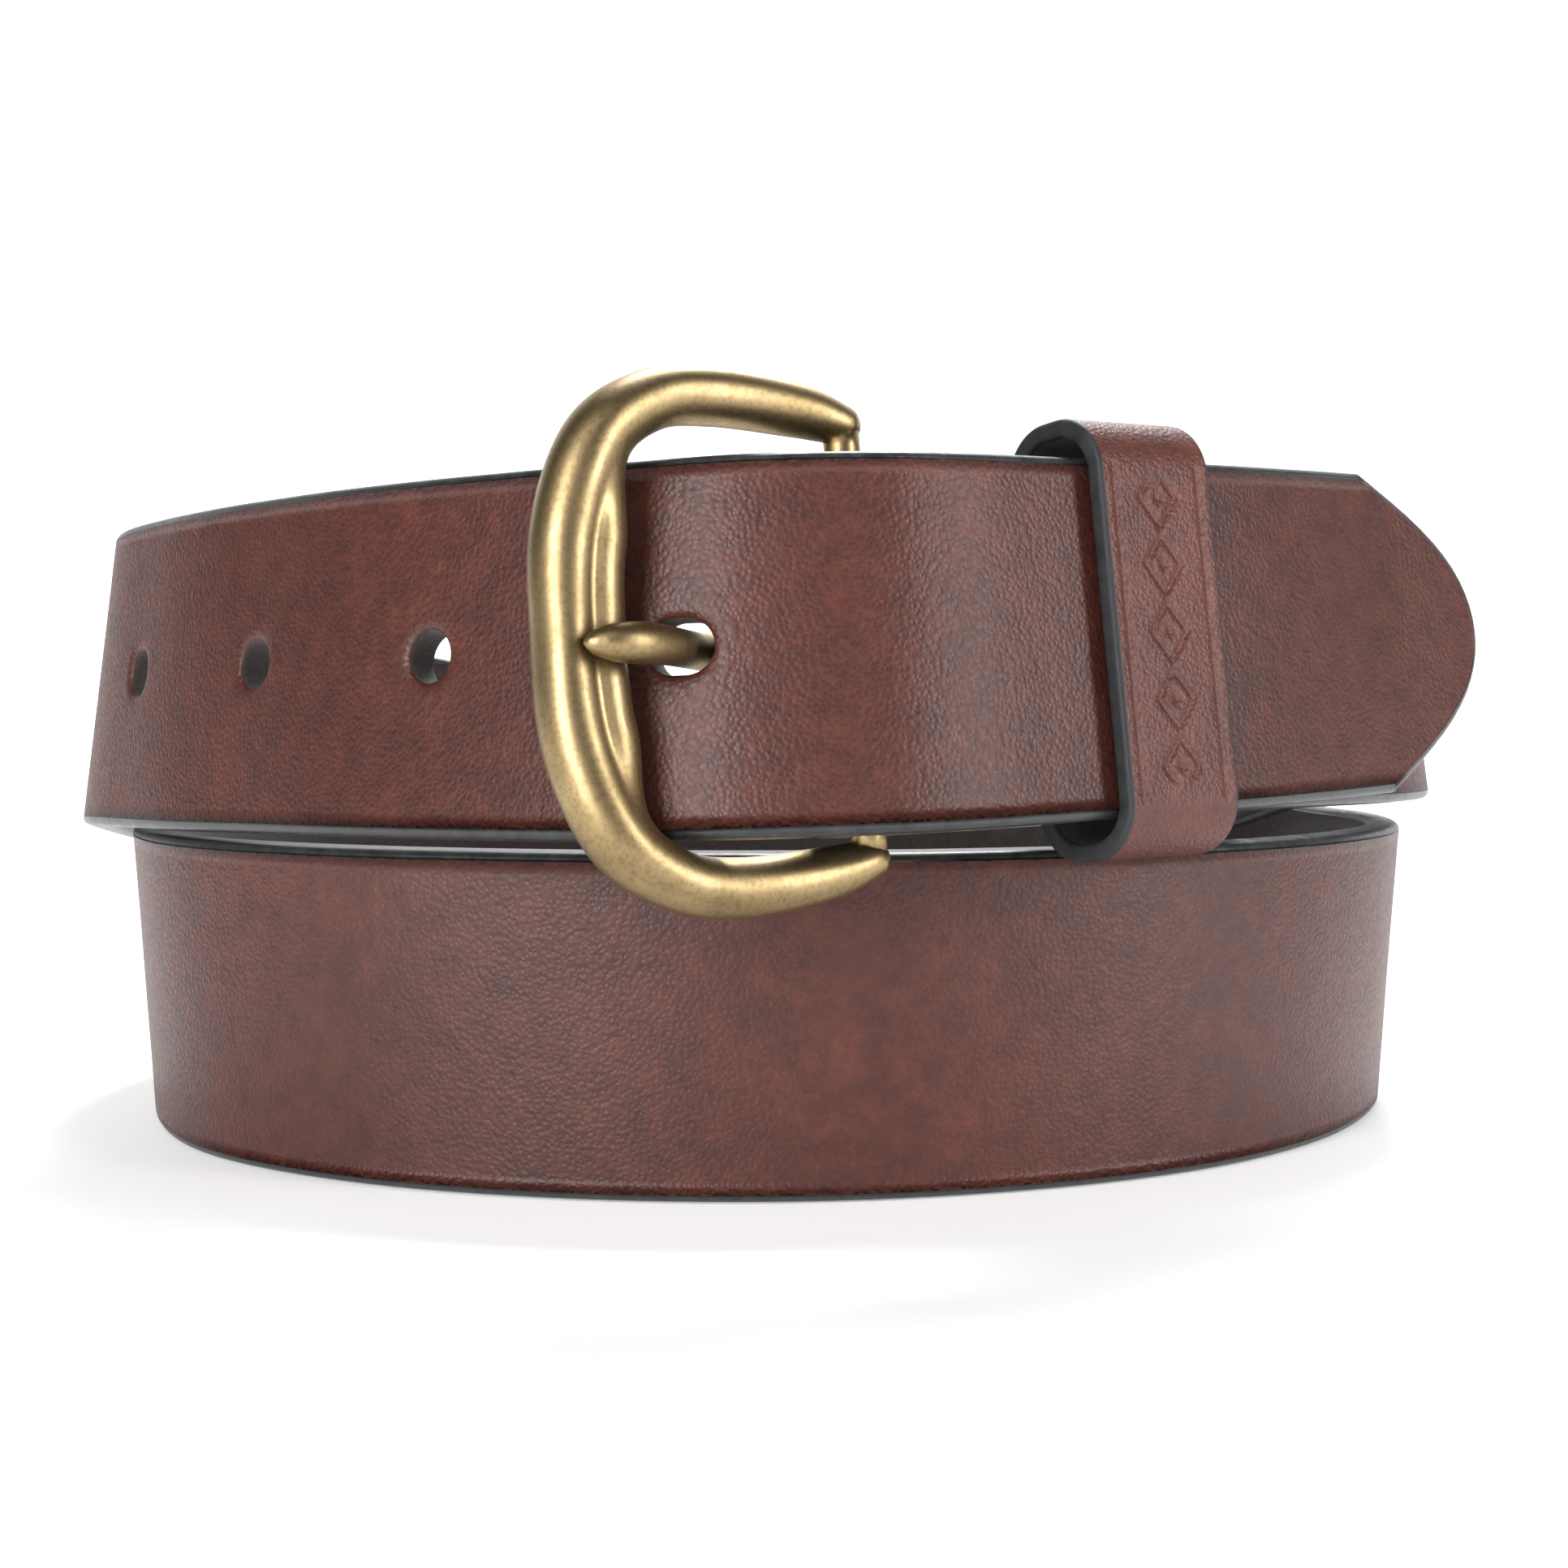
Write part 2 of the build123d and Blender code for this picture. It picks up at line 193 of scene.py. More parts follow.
def bend(flat):
    """Takes points in the flat strip (along, across, out of its middle) to where it lies."""
    along, across, out = flat.T
    placed = np.empty_like(flat)
    front = along >= 0
    at = along[front]
    placed[front] = (
        follow(middles, at)
        + across[front, None] * follow(ups, at)
        + out[front, None] * follow(outwards, at)
    )
    # half a turn round the heel bar
    fold = (along < 0) & (along >= -fold_length)
    angle = -along[fold] / fold_radius
    radial = np.outer(np.cos(angle), outwards[0]) - np.outer(np.sin(angle), alongs[0])
    centre = middles[0] - outwards[0] * fold_radius
    placed[fold] = (
        centre + radial * (fold_radius + out[fold, None]) + across[fold, None] * ups[0]
    )
    # the skived layer behind
    back = along < -fold_length
    at = -along[back] - fold_length
    thinning = np.clip(at / layer_settling, 0, 1)
    share = 1 + (turn_back_thickness / strap_thickness - 1) * thinning
    inside = np.array([turn_back_inside(distance) for distance in at])
    placed[back] = (
        follow(middles, at)
        + across[back, None] * follow(ups, at)
        - (inside + out[back] * share)[:, None] * follow(outwards, at)
    )
    return placed


# --- materials ---
def new_material(name, base, roughness, metallic=0.0):
    """A material with its shader, and the node tree to add to."""
    material = bpy.data.materials.new(name)
    material.use_nodes = True
    tree = material.node_tree
    shader = tree.nodes["Principled BSDF"]
    shader.inputs["Base Color"].default_value = (*base, 1)
    shader.inputs["Roughness"].default_value = roughness
    shader.inputs["Metallic"].default_value = metallic
    return material, tree, shader


def pattern(tree, kind, scale, **settings):
    """A procedural texture at a scale given in repeats per metre."""
    coordinates = tree.nodes.get("Texture Coordinate") or tree.nodes.new("ShaderNodeTexCoord")
    node = tree.nodes.new(kind)
    node.inputs["Scale"].default_value = scale
    for name, value in settings.items():
        node.inputs[name.replace("_", " ")].default_value = value
    tree.links.new(coordinates.outputs["Object"], node.inputs["Vector"])
    return node


def colour_steps(tree, source, steps):
    """Maps a texture's value to colours, from (place, colour) steps."""
    ramp = tree.nodes.new("ShaderNodeValToRGB")
    while len(ramp.color_ramp.elements) < len(steps):
        ramp.color_ramp.elements.new(0.5)
    for element, (place, colour) in zip(ramp.color_ramp.elements, steps):
        element.position = place
        element.color = (*colour, 1)
    tree.links.new(source, ramp.inputs["Fac"])
    return ramp.outputs["Color"]


def ranged(tree, source, low, high, from_low=0.3, from_high=0.7):
    """Maps a texture's value to a range of numbers."""
    node = tree.nodes.new("ShaderNodeMapRange")
    node.inputs["From Min"].default_value = from_low
    node.inputs["From Max"].default_value = from_high
    node.inputs["To Min"].default_value = low
    node.inputs["To Max"].default_value = high
    tree.links.new(source, node.inputs["Value"])
    return node.outputs["Result"]


def mixed(tree, first, second, share, blend="MIX"):
    """Two colours mixed by a share, which is a number or a socket."""
    node = tree.nodes.new("ShaderNodeMix")
    node.data_type = "RGBA"
    node.blend_type = blend
    tree.links.new(first, node.inputs["A"])
    tree.links.new(second, node.inputs["B"])
    if isinstance(share, float):
        node.inputs["Factor"].default_value = share
    else:
        tree.links.new(share, node.inputs["Factor"])
    return node.outputs["Result"]


def bumps(tree, shader, layers):
    """Adds bump layers, each a height socket, its depth in metres and its strength."""
    normal = None
    for height, depth, strength in layers:
        node = tree.nodes.new("ShaderNodeBump")
        node.inputs["Distance"].default_value = depth
        node.inputs["Strength"].default_value = strength
        tree.links.new(height, node.inputs["Height"])
        if normal:
            tree.links.new(normal, node.inputs["Normal"])
        normal = node.outputs["Normal"]
    tree.links.new(normal, shader.inputs["Normal"])


def leather(name, dark, middle, light, pebble):
    """Semi-gloss grain leather: mottled dye, pebbles with worn tops, and fine pores."""
    material, tree, shader = new_material(name, middle, 0.42)
    mottle = pattern(tree, "ShaderNodeTexNoise", 330, Detail=7, Roughness=0.66)
    cloud = pattern(tree, "ShaderNodeTexNoise", 45, Detail=3, Roughness=0.5)
    dye = colour_steps(
        tree, mottle.outputs["Fac"], [(0.32, dark), (0.52, middle), (0.74, light)]
    )
    broad = colour_steps(
        tree, cloud.outputs["Fac"], [(0.36, (0.88, 0.86, 0.86)), (0.66, (1.10, 1.10, 1.10))]
    )
    dye = mixed(tree, dye, broad, 1.0, "MULTIPLY")
    speck = pattern(tree, "ShaderNodeTexNoise", 1500, Detail=3, Roughness=0.7)
    specks = colour_steps(
        tree, speck.outputs["Fac"], [(0.36, (0.80, 0.78, 0.78)), (0.66, (1.16, 1.10, 1.08))]
    )
    tree.links.new(mixed(tree, dye, specks, 0.8, "MULTIPLY"), shader.inputs["Base Color"])
    cells = pattern(tree, "ShaderNodeTexVoronoi", pebble, Randomness=1.0)
    cells.feature = "SMOOTH_F1"
    cells.inputs["Smoothness"].default_value = 0.4
    pores = pattern(tree, "ShaderNodeTexNoise", pebble * 2.2, Detail=3, Roughness=0.5)
    sag = pattern(tree, "ShaderNodeTexNoise", 160, Detail=2, Roughness=0.5)
    bumps(tree, shader, [
        (sag.outputs["Fac"], 0.0001, 0.08),
        (cells.outputs["Distance"], 0.00008, 0.9),
        (pores.outputs["Fac"], 0.00002, 0.35),
    ])
    tree.links.new(
        ranged(tree, cells.outputs["Distance"], 0.36, 0.50, 0.1, 0.6), shader.inputs["Roughness"]
    )
    shader.inputs["Specular IOR Level"].default_value = 0.40
    return material


def edge_paint(name, base, roughness):
    """Painted and burnished leather edge, slightly uneven."""
    material, tree, shader = new_material(name, base, roughness)
    wander = pattern(tree, "ShaderNodeTexNoise", 700, Detail=4, Roughness=0.6)
    shade = colour_steps(
        tree,
        wander.outputs["Fac"],
        [(0.35, tuple(c * 0.7 for c in base)), (0.7, tuple(c * 1.6 for c in base))],
    )
    tree.links.new(shade, shader.inputs["Base Color"])
    bumps(tree, shader, [(wander.outputs["Fac"], 0.00012, 0.35)])
    tree.links.new(
        ranged(tree, wander.outputs["Fac"], roughness - 0.06, roughness + 0.1),
        shader.inputs["Roughness"],
    )
    return material


def flesh_side(name):
    """Dark dyed suede of the flesh side, with loose fibres."""
    material, tree, shader = new_material(name, (0.028, 0.020, 0.019), 0.85)
    fibres = pattern(tree, "ShaderNodeTexNoise", 900, Detail=8, Roughness=0.75, Distortion=0.8)
    cloud = pattern(tree, "ShaderNodeTexNoise", 60, Detail=3, Roughness=0.5)
    fine = colour_steps(
        tree, fibres.outputs["Fac"], [(0.3, (0.016, 0.011, 0.010)), (0.75, (0.050, 0.036, 0.032))]
    )
    broad = colour_steps(
        tree, cloud.outputs["Fac"], [(0.35, (0.8, 0.8, 0.8)), (0.7, (1.2, 1.15, 1.15))]
    )
    tree.links.new(mixed(tree, fine, broad, 0.7, "MULTIPLY"), shader.inputs["Base Color"])
    bumps(tree, shader, [(fibres.outputs["Fac"], 0.0003, 0.6)])
    shader.inputs["Sheen Weight"].default_value = 0.15
    return material


def metal(name, patina, body, bright, roughness, speckle):
    """Satin metal with cloudy patina and fine cast speckle."""
    material, tree, shader = new_material(name, body, roughness, 1.0)
    cloud = pattern(tree, "ShaderNodeTexNoise", 130, Detail=7, Roughness=0.68)
    specks = pattern(tree, "ShaderNodeTexNoise", 2300, Detail=2, Roughness=0.6)
    tone = colour_steps(
        tree, cloud.outputs["Fac"], [(0.33, patina), (0.52, body), (0.75, bright)]
    )
    dots = colour_steps(
        tree, specks.outputs["Fac"], [(0.34, (0.62, 0.60, 0.56)), (0.52, (1.0, 1.0, 1.0))]
    )
    tree.links.new(mixed(tree, tone, dots, speckle, "MULTIPLY"), shader.inputs["Base Color"])
    tree.links.new(
        ranged(tree, cloud.outputs["Fac"], roughness + 0.07, roughness - 0.05),
        shader.inputs["Roughness"],
    )
    bumps(tree, shader, [(specks.outputs["Fac"], 0.00004, 0.22)])
    return material


strap_grain = leather(
    "strap_grain", (0.046, 0.0125, 0.009), (0.066, 0.0175, 0.012), (0.092, 0.024, 0.016), 2200
)
keeper_grain = leather(
    "keeper_grain", (0.062, 0.016, 0.011), (0.088, 0.022, 0.015), (0.115, 0.030, 0.019), 2600
)
strap_edge = edge_paint("strap_edge", (0.020, 0.022, 0.023), 0.36)
keeper_edge = edge_paint("keeper_edge", (0.012, 0.013, 0.015), 0.62)
strap_flesh = flesh_side("strap_flesh")
brass = metal(
    "antique_brass", (0.24, 0.175, 0.085), (0.32, 0.235, 0.120), (0.40, 0.30, 0.16), 0.40, 0.55
)
screw_brass = metal(
    "screw_brass", (0.30, 0.22, 0.10), (0.43, 0.33, 0.16), (0.54, 0.43, 0.23), 0.28, 0.3
)
staple_steel = metal(
    "staple_steel", (0.30, 0.30, 0.30), (0.50, 0.50, 0.51), (0.62, 0.62, 0.63), 0.30, 0.3
)


# --- making meshes ---
def add_piece(name, points, faces, kinds, materials, body, stands_for):
    """Makes a piece from points in millimetres, with one material number for each face."""
    mesh = bpy.data.meshes.new(name)
    mesh.from_pydata([tuple(float(c) * mm for c in point) for point in points], [], faces)
    for material in materials:
        mesh.materials.append(material)
    mesh.polygons.foreach_set("material_index", kinds)
    mesh.polygons.foreach_set("use_smooth", [True] * len(faces))
    mesh.validate()
    mesh.update()
    piece = bpy.data.objects.new(name, mesh)
    bpy.context.scene.collection.objects.link(piece)
    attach(piece, body)
    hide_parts(stands_for)


def tube(rings, faces_from=0, closed=False):
    """Quads over rings of equal size, with end caps unless the last ring meets the first."""
    size = len(rings[0])
    points = [point for ring in rings for point in ring]
    faces = []
    spans = len(rings) if closed else len(rings) - 1
    for ring in range(spans):
        start = faces_from + ring * size
        following = faces_from + (ring + 1) % len(rings) * size
        for k in range(size):
            after = (k + 1) % size
            faces.append((start + k, start + after, following + after, following + k))
    if not closed:
        faces.append(tuple(faces_from + k for k in reversed(range(size))))
        end = faces_from + (len(rings) - 1) * size
        faces.append(tuple(end + k for k in range(size)))
    return points, faces


# --- the strap's strip, made flat and then bent ---
grid_step = 1.25
columns = 24
edge_round = 0.8
round_steps = 5
tip_blend = 34.0
tip_power = 1.5
hole_room = 6.2                    # half of the block of grid cells that gives way to a hole
hole_roll = 0.34
slot_end_room = 1.6
slot_side_room = 3.8
slot_roll = 0.1
seat_room = 5.6
seat_room_to_edge = 5.4
seat_room_to_middle = 4.7
seat_roll = 0.05
ring_shares = (0.7, 0.45, 0.26, 0.13, 0.05, 0.0)
roll_reach = 0.8
roll_power = 2.2
wall_levels = (0.9, 0.0, -0.9)
swell_depth = 0.04
swell_per_mm = (0.08, 0.08, 0.05)
grain_kind, edge_kind, flesh_kind = 0, 1, 2
half_width = strap_width / 2
half_thickness = strap_thickness / 2

rows = round((strap_length - first_distance) / grid_step)
row_places = np.linspace(first_distance, strap_length, rows + 1)
column_places = np.linspace(-1, 1, columns + 1)


def outline_point(row, column):
    """Place in the strip of a grid point, if the grid reached the outline."""
    along, share = row_places[row], column_places[column]
    reach = max(0.0, (along - strap_length + tip_blend) / tip_blend) ** tip_power
    return along - reach * point_length * share**2, share * half_width


outline = (
    [(0, column) for column in range(columns)]
    + [(row, columns) for row in range(rows)]
    + [(rows, column) for column in range(columns, 0, -1)]
    + [(row, 0) for row in range(rows, 0, -1)]
)
outline_places = np.array([outline_point(*place) for place in outline])
tangents = np.roll(outline_places, -1, axis=0) - np.roll(outline_places, 1, axis=0)
tangents /= np.linalg.norm(tangents, axis=1)[:, None]
outline_outward = np.stack([-tangents[:, 1], tangents[:, 0]], axis=1)
inset = dict(zip(outline, outline_places - outline_outward * edge_round))


def stadium(angle, length, width):
    """Distance from the middle of a round-ended slot to its rim, in one direction."""
    straight = (length - width) / 2
    cosine, sine = abs(math.cos(angle)), abs(math.sin(angle))
    side = width / 2 / sine if sine > 1e-6 else 1e9
    if side * cosine <= straight:
        return side
    return straight * cosine + math.sqrt((width / 2) ** 2 - (straight * sine) ** 2)


def hole(along, across, length, width, room, **shape):
    """A hole through the strip, and the block of grid cells that gives way to it."""
    low_row = int(np.abs(row_places - (along - room[0])).argmin())
    high_row = int(np.abs(row_places - (along + room[0])).argmin())
    lines = column_places * (half_width - edge_round)
    low_column = int(np.abs(lines - (across - room[1])).argmin())
    high_column = int(np.abs(lines - (across + room[2])).argmin())
    return {
        "centre": (along, across), "length": length, "width": width,
        "block": (low_row, high_row, low_column, high_column), **shape,
    }


holes = []
for number in range(hole_count):
    place = strap_length - first_hole_to_tip - number * hole_pitch
    length = used_hole_length if number == 0 else hole_diameter
    room = (hole_room, hole_room, hole_room)
    holes.append(hole(place, 0, length, hole_diameter, room, rolled=hole_roll))
slot_middle = -fold_length / 2
slot_length = fold_length + 2 * slot_reach
room = (slot_length / 2 + slot_end_room, slot_side_room, slot_side_room)
holes.append(hole(slot_middle, 0, slot_length, slot_width, room, rolled=slot_roll))
for distance in screw_distances:
    for height in (-screw_spread / 2, screw_spread / 2):
        near, far = seat_room_to_edge, seat_room_to_middle
        if height > 0:
            near, far = far, near
        for layer, thinner in ((0, 1.0), (1, strap_thickness / turn_back_thickness)):
            place = distance if layer == 0 else -fold_length - distance
            holes.append(hole(
                place, height, 2 * screw_seat_radius, 2 * screw_seat_radius,
                (seat_room, near, far), rolled=seat_roll, seat=screw_seat_depth * thinner,
            ))

flat_points = []
strap_faces = []
strap_kinds = []


def add_point(along, across, out):
    """Adds a point of the flat strip and returns its number."""
    flat_points.append((along, across, out))
    return len(flat_points) - 1


def add_face(corners, kind):
    """Adds a face of the flat strip."""
    strap_faces.append(tuple(corners))
    strap_kinds.append(kind)


def in_block(row, column, block):
    """Whether a grid point lies inside a block, not on its rim."""
    return block[0] < row < block[1] and block[2] < column < block[3]


def block_loop(block):
    """Grid points round a block, in order."""
    low_row, high_row, low_column, high_column = block
    return (
        [(row, low_column) for row in range(low_row, high_row)]
        + [(high_row, column) for column in range(low_column, high_column)]
        + [(row, high_column) for row in range(high_row, low_row, -1)]
        + [(low_row, column) for column in range(high_column, low_column, -1)]
    )


def add_side(side, kind):
    """One face of the strip, with a patch round each hole. Returns its grid and hole rims."""
    out = side * half_thickness
    grid = {}
    for row in range(rows + 1):
        for column in range(columns + 1):
            if any(in_block(row, column, each["block"]) for each in near_holes[row]):
                continue
            along, _ = outline_point(row, column)
            across = column_places[column] * (half_width - edge_round)
            along, across = inset.get((row, column), (along, across))
            grid[row, column] = add_point(along, across, out)
    for row in range(rows):
        for column in range(columns):
            if any(
                each["block"][0] <= row < each["block"][1]
                and each["block"][2] <= column < each["block"][3]
                for each in near_holes[row]
            ):
                continue
            corners = [
                grid[row, column], grid[row + 1, column],
                grid[row + 1, column + 1], grid[row, column + 1],
            ]
            add_face(corners if side > 0 else corners[::-1], kind)
    rims = []
    for each in holes:
        loop = [grid[place] for place in block_loop(each["block"])]
        middle = np.array(each["centre"])
        plain = side < 0 and "seat" in each
        size = 2 * screw_hole_radius
        length = size if plain else each["length"]
        width = size if plain else each["width"]
        rim_out = out - side * each["rolled"]
        previous = loop
        for share in ring_shares:
            ring = []
            for corner in loop:
                far = np.array(flat_points[corner][:2]) - middle
                reach = math.hypot(*far)
                rim = stadium(math.atan2(far[1], far[0]), length, width)
                place = middle + far / reach * (rim + (reach - rim) * share)
                roll = max(0.0, 1 - (reach - rim) * share / roll_reach) ** roll_power
                ring.append(add_point(*place, out + (rim_out - out) * roll))
            for k in range(len(loop)):
                after = (k + 1) % len(loop)
                corners = [previous[k], previous[after], ring[after], ring[k]]
                add_face(corners if side > 0 else corners[::-1], kind)
            previous = ring
        rims.append(previous)
    return grid, rims


near_holes = [
    [each for each in holes if each["block"][0] <= row <= each["block"][1]]
    for row in range(rows + 1)
]
grain_grid, grain_rims = add_side(1, grain_kind)
flesh_grid, flesh_rims = add_side(-1, flesh_kind)


def add_wall(top, bottom, between, kind):
    """A wall between two loops of points, by way of more loops."""
    loops = [top, *between, bottom]
    for upper, lower in zip(loops[:-1], loops[1:]):
        for k in range(len(top)):
            after = (k + 1) % len(top)
            add_face((upper[k], upper[after], lower[after], lower[k]), kind)


def scaled_loop(loop, centre, share, out):
    """A loop drawn towards its hole's centre, at another level."""
    middle = np.array(centre)
    places = [middle + (np.array(flat_points[k][:2]) - middle) * share for k in loop]
    return [add_point(*place, out) for place in places]


for each, top, bottom in zip(holes, grain_rims, flesh_rims):
    if "seat" in each:
        seat_level = half_thickness - each["seat"]
        share = screw_hole_radius / screw_seat_radius
        between = [
            scaled_loop(top, each["centre"], 1.0, seat_level),
            scaled_loop(top, each["centre"], share, seat_level),
        ]
    else:
        between = [scaled_loop(top, each["centre"], 1.0, level) for level in wall_levels]
    add_wall(top, bottom, between, flesh_kind)

# rounded, painted edges all round the outline
loops = []
for side in (1, -1):
    turns_of_edge = [math.pi / 2 * k / round_steps for k in range(1, round_steps + 1)]
    side_loops = []
    for angle in turns_of_edge:
        places = outline_places - outline_outward * edge_round * (1 - math.sin(angle))
        level = side * (half_thickness - edge_round * (1 - math.cos(angle)))
        side_loops.append([add_point(*place, level) for place in places])
    loops += side_loops if side > 0 else side_loops[::-1]
outline_top = [grain_grid[place] for place in outline]
outline_bottom = [flesh_grid[place] for place in outline]
add_wall(outline_top[::-1], outline_bottom[::-1], [loop[::-1] for loop in loops], edge_kind)

flat = np.array(flat_points)
# the leather is never quite even: a slow swell of a few hundredths
swell = np.array([noise.noise(Vector(point * swell_per_mm)) for point in flat])
flat[:, 2] += swell_depth * swell * np.sign(flat[:, 2])
strap_points = bend(flat)
strap_points[:, 2] = np.maximum(strap_points[:, 2], 0.0)
add_piece(
    "strap_leather_strip", strap_points, strap_faces, strap_kinds,
    [strap_grain, strap_edge, strap_flesh], "belt_strap", "strap",
)

# --- buckle: place, and the smooth line of its rod ---
hinge = joints["buckle_hinge"]
bar_centre = Vector(hinge["pos_m"]) / mm
bar_direction = Vector(hinge["axis"]).normalized()
angle = math.radians(buckle_angle)
frame_right = Vector((math.cos(angle), math.sin(angle), 0))
frame_right = (frame_right - bar_direction * frame_right.dot(bar_direction)).normalized()
frame_out = frame_right.cross(bar_direction)


def buckle_point(reach, height, outward):
    """Point given by its reach from the heel bar, height up the bar and outward offset."""
    return bar_centre - frame_right * reach + bar_direction * height + frame_out * outward


def between_stations(stations, per_span):
    """Rows of numbers on a smooth curve through the stations, by Catmull and Rom's rule."""
    values = np.array(stations, float)
    padded = np.vstack([2 * values[0] - values[1], values, 2 * values[-1] - values[-2]])
    rows_made = []
    for k in range(1, len(padded) - 2):
        for part in np.arange(per_span) / per_span:
            a, b, c, d = padded[k - 1], padded[k], padded[k + 1], padded[k + 2]
            rows_made.append(0.5 * (
                2 * b + (c - a) * part + (2 * a - 5 * b + 4 * c - d) * part**2
                + (3 * b - a - 3 * c + d) * part**3
            ))
    rows_made.append(values[-1])
    return np.array(rows_made)


def reach_of_ellipse(angle, centre, wide, deep):
    """Furthest distance at which a ray from the section's middle leaves an ellipse, or 0."""
    across, up = math.cos(angle) / wide, math.sin(angle) / deep
    a = across**2 + up**2
    b = -2 * (across * centre[0] / wide + up * centre[1] / deep)
    c = (centre[0] / wide) ** 2 + (centre[1] / deep) ** 2 - 1
    inside = b * b - 4 * a * c
    return max(0.0, (-b + math.sqrt(inside)) / (2 * a)) if inside > 0 else 0.0


lip_middle = (-3.0, -0.15)
lip_wide, lip_deep = 2.3, 2.5
lip_ends = (8.5, 20.4)
lip_end_offset = 0.7               # share of the lip's offset that is left where it dies out
lip_end_depth = 0.6
groove_softness = (0.9, 2.4)       # at the middle of the front bar, and where the lip dies out
notch_width = 1.7
notch_in_lip = 0.22
notch_in_dome = 0.05
horn_rounding = 1.2
horn_tip_size = 0.12
around = 56
rod_rows_per_span = 10
bar_sides = 32
bar_ring_count = 25


def rod_section(height, wide, deep):
    """The rod's section: a dome, and along the front bar an inner lip behind a groove."""
    fade = min(1.0, max(0.0, (lip_ends[1] - abs(height)) / (lip_ends[1] - lip_ends[0])))
    fade = fade * fade * (3 - 2 * fade)
    notch = math.exp(-(((height + frame_rise) / notch_width) ** 2))
    soft = groove_softness[1] + (groove_softness[0] - groove_softness[1]) * fade
    section = []
    for k in range(around):
        angle = 2 * math.pi * k / around
        dome = reach_of_ellipse(angle, (0, 0), wide, deep)
        offset = lip_end_offset + (1 - lip_end_offset) * fade
        deep_share = lip_end_depth + (1 - lip_end_depth) * fade
        centre = (lip_middle[0] * offset, lip_middle[1])
        lip = reach_of_ellipse(angle, centre, lip_wide, lip_deep * deep_share)
        if math.sin(angle) > 0:
            lip *= 1 - notch_in_lip * notch * math.sin(angle)
            dome *= 1 - notch_in_dome * notch * max(0.0, -math.cos(angle))
        meeting = max(0.0, soft - abs(dome - lip)) / soft
        reach = max(dome, lip) + soft * meeting**2 / 4
        reach = dome + (reach - dome) * fade
        section.append((reach * math.cos(angle), reach * math.sin(angle)))
    return section


def horn_size(distance):
    """Share of its full size that the rod has near a horn's rounded end."""
    left = min(1.0, distance / horn_rounding)
    return max(horn_tip_size, math.sqrt(1 - (1 - left) ** 2))


lower_stations = [(reach, -up, *rest) for reach, up, *rest in frame_stations[:-1]]
rod_rows = between_stations(frame_stations + lower_stations[::-1], rod_rows_per_span)
rod_line = [buckle_point(row[0], row[1] + frame_rise, row[2]) for row in rod_rows]
rings = []
for k, (_, height, _, wide, deep) in enumerate(rod_rows):
    along = (rod_line[min(k + 1, len(rod_line) - 1)] - rod_line[max(k - 1, 0)]).normalized()
    across = along.cross(frame_out).normalized()
    up = across.cross(along) * -1
    from_horns = [(rod_line[k] - rod_line[end]).length for end in (0, -1)]
    size = horn_size(min(from_horns))
    rings.append([
        rod_line[k] + (across * x - up * y) * size for x, y in rod_section(height, wide, deep)
    ])
frame_points, frame_faces = tube(rings)


def circle(centre, first, second, radius, size):
    """A ring of points round a centre, in the plane of two directions."""
    return [
        centre + first * (radius * math.cos(2 * math.pi * k / size))
        + second * (radius * math.sin(2 * math.pi * k / size))
        for k in range(size)
    ]


bar_rings = [
    circle(buckle_point(0, height + frame_rise, 0), frame_out, frame_right, bar_radius, bar_sides)
    for height in np.linspace(-bar_half_length, bar_half_length, bar_ring_count)
]
more_points, more_faces = tube(bar_rings, len(frame_points))
frame_points += more_points
frame_faces += more_faces
add_piece(
    "buckle_cast_frame", frame_points, frame_faces, [0] * len(frame_faces), [brass],
    "buckle", "buckle_frame",
)

# --- prong: its shank, rounded tip, and the eye round the heel bar ---
prong_rows_per_span = 7
prong_sides = 36
eye_sides = 48
# the eye's rounded edge: how far in from its rim, and how far in from its side
eye_edge = [(0.35, 0.0), (0.08, 0.25), (0.0, 0.6)]
prong_rows = between_stations(prong_stations, prong_rows_per_span)
prong_line = [buckle_point(reach, 0, out) for reach, out, _ in prong_rows]
rings = []
for k, (_, _, radius) in enumerate(prong_rows):
    along = (prong_line[min(k + 1, len(prong_line) - 1)] - prong_line[max(k - 1, 0)]).normalized()
    sideways = along.cross(bar_direction)
    rings.append(circle(prong_line[k], bar_direction, sideways, radius, prong_sides))
prong_points, prong_faces = tube(rings)
inner, outer, half = bar_radius + prong_clearance, prong_eye_radius, prong_eye_width / 2
lower_edge = [(outer - inwards, level - half) for inwards, level in eye_edge]
upper_edge = [(outer - inwards, half - level) for inwards, level in eye_edge[::-1]]
eye_profile = [(inner, -half)] + lower_edge + upper_edge + [(inner, half)]
eye_rings = []
for k in range(eye_sides):
    turn = 2 * math.pi * k / eye_sides
    radial = frame_out * math.cos(turn) + frame_right * math.sin(turn)
    eye_rings.append([
        bar_centre + radial * radius + bar_direction * level for radius, level in eye_profile
    ])
more_points, more_faces = tube(eye_rings, len(prong_points), closed=True)
prong_points += more_points
prong_faces += more_faces
add_piece(
    "prong_round_pin", prong_points, prong_faces, [0] * len(prong_faces), [brass],
    "prong", "prong",
)

# --- keeper: a narrow strip bent into a loop, its ends butted inside the fold ---
keeper_turn = float(np.interp(keeper_distance, distances, turns))
two_turns = 720
keeper_middle, keeper_along, keeper_out, keeper_up = strap_axes(keeper_turn)
tongue_middle = strap_middle(keeper_turn + two_turns)
offset = tongue_middle - keeper_middle
keeper_centre = (
    keeper_middle + keeper_out * offset.dot(keeper_out) / 2 + keeper_up * offset.dot(keeper_up) / 2
)
wall = keeper_inner_corner + keeper_thickness
outer_depth = keeper_inner_depth + 2 * keeper_thickness
outer_height = keeper_inner_height + 2 * keeper_thickness


